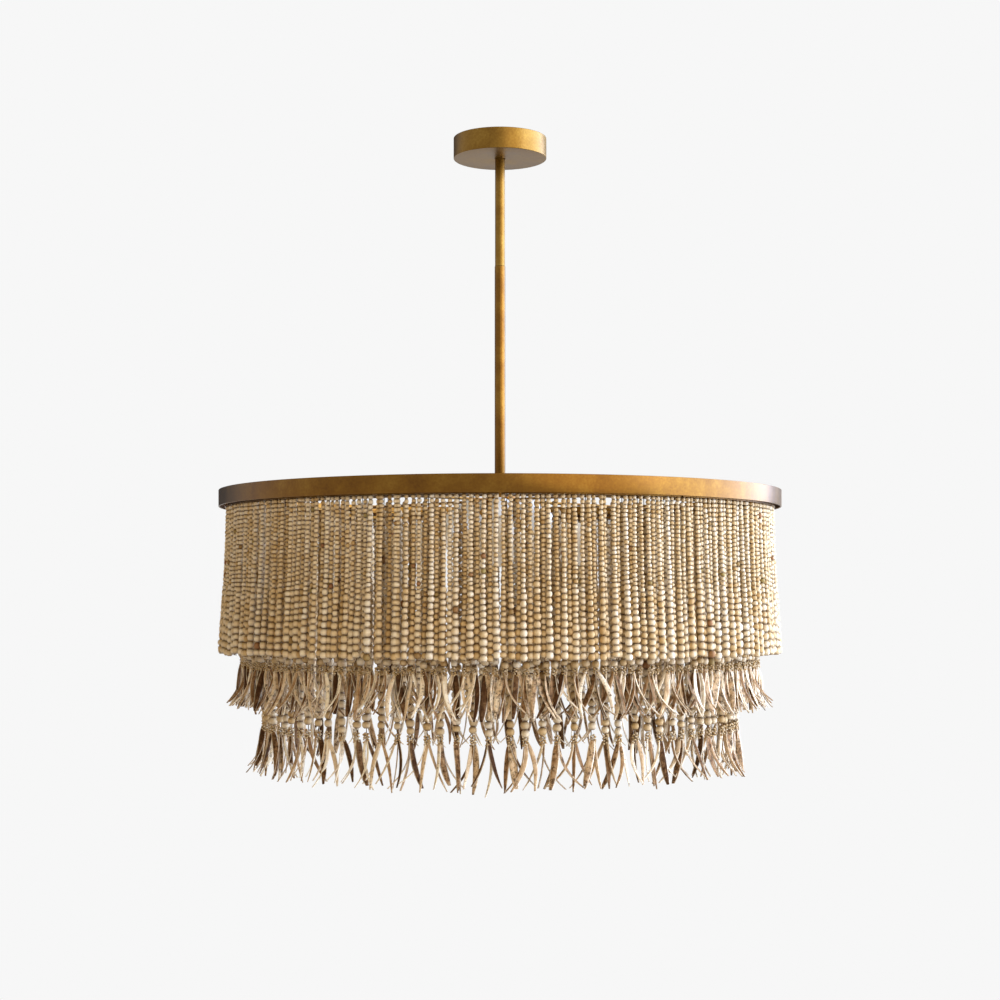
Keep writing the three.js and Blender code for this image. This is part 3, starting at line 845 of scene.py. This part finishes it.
def laySlivers(barks, s, strand):
    # some face outwards, and the others stand edge on and curl sideways, mostly apart
    b = fringeSet
    out, side, at = strand["out"], strand["side"], strand["at"]
    least, most = s["slivers"]
    count = int(dice.integers(least, most + 1))
    for number in range(count):
        kind = slivers[int(dice.integers(0, len(slivers)))]
        seat = number - (count - 1) / 2
        spread = seat * s["fan"] + dice.normal(0, b["fanSpread"])
        lean = s["lean"] + dice.normal(0, b["leanSpread"])
        way = 1 if spread > 0 else -1
        if dice.uniform() < b["facingShare"]:
            curl, spin = b["facingCurl"], dice.normal(*b["facingSpin"])
        else:
            curl, spin = 1, min(dice.normal(*b["edgeSpin"]), b["mostSpin"])
            spin *= way * dice.choice(b["edgeWays"])
        turn = Euler((math.radians(spread), math.radians(-lean), 0)).to_matrix()
        facing = np.array(turn) @ turnZ(math.radians(spin))
        stretch = s["sliver"] / sliverSet["length"] * (1 - abs(dice.normal(0, b["lengthSpread"])))
        shape = np.diag([curl, way * dice.uniform(*b["widthShares"]), stretch])
        start = at(s["length"] + s["neck"] - dice.uniform(*b["tuck"]))
        place = start + side * seat * b["apart"] + out * dice.normal(0, b["outSpread"])
        tone, dark = dice.uniform(), float(dice.uniform() < kind["dark"])
        layShape(barks, kind, place, turnZ(strand["angle"]) @ facing @ shape, tone, dark)


def makeStrand(beads, barks, s, angle, radius, top, row):
    t = strandSet
    out = np.array([math.cos(angle), math.sin(angle), 0])
    side = np.array([-out[1], out[0], 0])
    front = (1 if row % 2 else -1) * dice.uniform(*t["front"])  # stands in front or behind, in turn
    stagger = front * s["stagger"] + dice.normal(0, t["staggerSpread"])
    drift, bow = dice.normal(0, t["driftSpread"]), dice.normal(0, t["bowSpread"])
    # painted shade: the tone is darker for strands behind and lighter for strands in front
    tone = dice.normal(t["tone"] + t["rowShade"] * front, t["toneSpread"])

    def at(down):
        share = down / s["length"]
        away = radius + s["flare"] * share ** t["flarePower"] + stagger * min(1, t["topStagger"] + share)
        sway = drift * share + bow * math.sin(math.pi * share)
        return out * away + side * sway + np.array([0, 0, top - down])

    strand = {"angle": angle, "out": out, "side": side, "at": at, "tone": tone}
    layBeads(beads, s, strand, 1 + front * s["uneven"] + dice.normal(0, t["growSpread"]))
    layThread(beads, s, strand)
    if "slivers" in s:
        layKnot(beads, s, strand)
        laySlivers(barks, s, strand)


# Headers and clips: each sector's strands hang from a strip, and two clips hold it on the ring's wire
headerSet = {"thick": 2 * mm, "depth": 9.6 * mm, "drop": 4 * mm, "steps": 18, "share": 0.985}
clipSet = {
    "inner": 3.0 * mm, "wall": 1.2 * mm, "width": 5 * mm, "leg": 5.5 * mm,
    "turn": math.radians(12), "sides": 24,
}
cadRing = {"wire": 2.5 * mm, "sides": 30}  # the CAD's wire radius, and its straight sides round a tier


def makeHeader(radius, top, s):
    # a curved strip under the ring, spun from its section
    half = sectorTurn / 2 * s["share"]
    startFresh()
    bpy.ops.mesh.primitive_plane_add(size=1)
    strip = bpy.context.object
    strip.scale = (s["depth"], s["thick"], 1)
    strip.rotation_euler = (math.pi / 2, 0, -half)
    strip.location = (radius * math.cos(half), -radius * math.sin(half), top - s["thick"] / 2)
    applyPlace()
    editAll()
    bpy.ops.mesh.spin(steps=s["steps"], angle=-2 * half, center=(0, 0, 0), axis=(0, 0, 1))
    bpy.ops.mesh.select_all(action="SELECT")
    bpy.ops.mesh.remove_doubles(threshold=mergeGap)
    bpy.ops.mesh.normals_make_consistent(inside=False)
    bpy.ops.object.mode_set(mode="OBJECT")
    return strip


def makeClip(radius, ringHeight, turn, s):
    # half a tube over the wire, whose cut edges are drawn down as legs
    startFresh()
    bpy.ops.mesh.primitive_cylinder_add(
        vertices=s["sides"], radius=s["inner"], depth=s["width"], end_fill_type="NOTHING",
        rotation=(math.pi / 2, 0, 0),
    )
    clip = bpy.context.object
    applyPlace()
    editAll()
    bpy.ops.mesh.bisect(plane_co=(0, 0, 0), plane_no=(0, 0, 1), clear_inner=True)
    bpy.ops.mesh.select_all(action="DESELECT")
    bpy.ops.object.mode_set(mode="OBJECT")
    for edge in clip.data.edges:
        edge.select = all(abs(clip.data.vertices[i].co.z) < mergeGap for i in edge.vertices)
    bpy.ops.object.mode_set(mode="EDIT")
    bpy.ops.mesh.select_mode(type="EDGE")
    bpy.ops.mesh.extrude_edges_move(TRANSFORM_OT_translate={"value": (0, 0, -s["leg"])})
    bpy.ops.mesh.select_all(action="SELECT")
    bpy.ops.mesh.select_mode(type="VERT")
    bpy.ops.object.mode_set(mode="OBJECT")
    wall = clip.modifiers.new("wall", "SOLIDIFY")
    wall.thickness, wall.offset = s["wall"], 1
    bpy.ops.object.modifier_apply(modifier=wall.name)
    clip.matrix_world = Matrix.Rotation(turn, 4, "Z") @ Matrix.Translation((radius, 0, ringHeight))
    applyPlace()
    return clip


def makeSector(tier, number, s, radius, ringHeight, top):
    name = f"{number + 1:02d}"
    body = f"{tier}_sector_{name}"
    middle = sectorTurn / 2 - math.pi / 2 + number * sectorTurn
    step = sectorTurn / s["strands"]
    beads, barks = [], []
    for row in range(s["strands"]):
        angle = middle - sectorTurn / 2 + (row + 0.5 + dice.normal(0, s["scatter"])) * step
        makeStrand(beads, barks, s, angle, radius, top, row)
    piece = addBatch(f"{tier}Beads{name}", beads, wood, body)
    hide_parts(f"{tier}_strands_{name}")
    if barks:
        addBatch(f"{tier}Bark{name}", barks, bark, body)
    header = makeHeader(radius, top, headerSet)
    clips = [makeClip(radius, ringHeight, way * clipSet["turn"], clipSet) for way in (-1, 1)]
    startFresh()
    for part in (header, *clips):
        part.select_set(True)
    bpy.context.view_layer.objects.active = header
    bpy.ops.object.join()
    header.matrix_world = Matrix.Rotation(middle, 4, "Z")
    finishPiece(header, f"{tier}Header{name}", brass, body)


def makeTier(tier, s):
    low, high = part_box(f"{tier}_ring")
    # the clips sit at the middle of a straight side of the CAD's wire
    radius = ((high.y - low.y) / 2 - cadRing["wire"]) * math.cos(math.pi / cadRing["sides"])
    for number in range(sectorCount):
        makeSector(tier, number, s, radius, (low.z + high.z) / 2, low.z - headerSet["drop"])


for tier, settings in tierSets.items():
    makeTier(tier, settings)
    print("tier made:", tier)


# Hidden hardware keeps its CAD shape and gets its finish
steel = plainFinishes["zincSteel"]
hardware = {
    "ceiling_crossbar": steel, "mounting_nipple": steel, "lock_nut": steel, "stem_coupling": steel,
    "stem_cable": plainFinishes["cableSleeve"], "canopy_screw_right": brass, "canopy_screw_left": brass,
}
for name, material in hardware.items():
    nodes[name].data.materials.clear()
    nodes[name].data.materials.append(material)
print("hardware finished")


# Studio: a pale floor, a world that is white to the camera, and soft lamps
studioSet = {
    "white": 0.93, "sky": 0.14, "skyTint": (1, 0.75, 0.46), "seenBy": ("Camera", "Glossy", "Transmission"),
}
# Metal mirrors the white room, dimmed at the back, above the floor and away from the key lamp
dimSet = {"share": 0.92, "fades": {"Y": (0.3, 0.9), "Z": (-0.2, -0.06), "X": (0.9, -0.1)}}
floorSet = {
    "height": -2.4, "radius": 5.1, "sides": 96, "plain": 0.9, "rough": 0.9, "noise": (3, 2, 0.5),
    "colors": ((0.3, (0.8, 0.75, 0.66)), (0.7, (0.85, 0.8, 0.71))),
}
lampAim = (0, 0, -0.62)
softboxes = {
    "key": {"at": (3.28, 0.2, 0.1), "size": 5.4, "power": 396, "tint": (0.87, 1.09, 1.58), "mirrored": True},
    "soft": {"at": (2.2, -2.85, 0.6), "size": 3.8, "power": 74, "tint": (1, 0.92, 0.77), "mirrored": True},
    "fill": {"at": (-2.4, -3.0, 0.2), "size": 2.6, "power": 42, "tint": (1, 0.86, 0.64), "mirrored": False},
}


def seenRays(tree, s):
    # rays that see the plain white room, and of them those off metal
    camera, mirrored, through = [
        addNode(tree, "ShaderNodeLightPath", out=f"Is {kind} Ray") for kind in s["seenBy"]
    ]
    settings = {"operation": "ADD", "use_clamp": True}
    return addNode(tree, "ShaderNodeMath", settings, {0: camera + mirrored, 1: through}), mirrored


def makeWorld(s):
    world = bpy.data.worlds.new("studio")
    bpy.context.scene.world = world
    world.use_nodes = True
    tree = world.node_tree
    tree.nodes.clear()
    seen, mirrored = seenRays(tree, s)
    place = addNode(tree, "ShaderNodeTexCoord", out="Generated")
    dim = mirrored * dimSet["share"]
    for axis, (low, high) in dimSet["fades"].items():
        way = addNode(tree, "ShaderNodeSeparateXYZ", None, {0: place}, axis)
        sockets = {"Value": way, "From Min": low, "From Max": high}
        dim = dim * addNode(tree, "ShaderNodeMapRange", {"interpolation_type": "SMOOTHSTEP"}, sockets)
    white = {"Color": (1, 1, 1, 1), "Strength": (1 - dim) * s["white"]}
    sky = {"Color": (*s["skyTint"], 1), "Strength": s["sky"]}
    looks = [addNode(tree, "ShaderNodeBackground", None, sockets) for sockets in (sky, white)]
    both = addNode(tree, "ShaderNodeMixShader", None, {0: seen, 1: looks[0], 2: looks[1]})
    addNode(tree, "ShaderNodeOutputWorld", None, {"Surface": both})


def makeFloor(s, studio):
    startFresh()
    bpy.ops.mesh.primitive_circle_add(
        vertices=s["sides"], radius=s["radius"], fill_type="NGON", location=(0, 0, s["height"])
    )
    floor = bpy.context.object
    floor.name = "studioFloor"
    f = Finish("floorPaint", Roughness=s["rough"])
    f.set(Base_Color=f.ramp(f.noise(*s["noise"]), s["colors"]))
    white = f.add("ShaderNodeEmission", None, {"Color": (1, 1, 1), "Strength": studio["white"]})
    paint = Wire(f.tree, f.shader.outputs[0])
    share = seenRays(f.tree, studio)[0] * s["plain"]
    both = f.add("ShaderNodeMixShader", None, {0: share, 1: paint, 2: white})
    feed(f.tree, f.tree.nodes["Material Output"].inputs["Surface"], both)
    floor.data.materials.append(f.material)


def makeSoftbox(name, s):
    data = bpy.data.lights.new(name, "AREA")
    data.shape, data.size, data.energy, data.color = "DISK", s["size"], s["power"], s["tint"]
    light = bpy.data.objects.new(name, data)
    light.location = s["at"]
    light.visible_glossy = s["mirrored"]
    light.rotation_euler = (Vector(lampAim) - Vector(s["at"])).to_track_quat("-Z", "Y").to_euler()
    bpy.context.scene.collection.objects.link(light)


makeWorld(studioSet)
makeFloor(floorSet, studioSet)
for name, settings in softboxes.items():
    makeSoftbox(name, settings)

print("studio made")
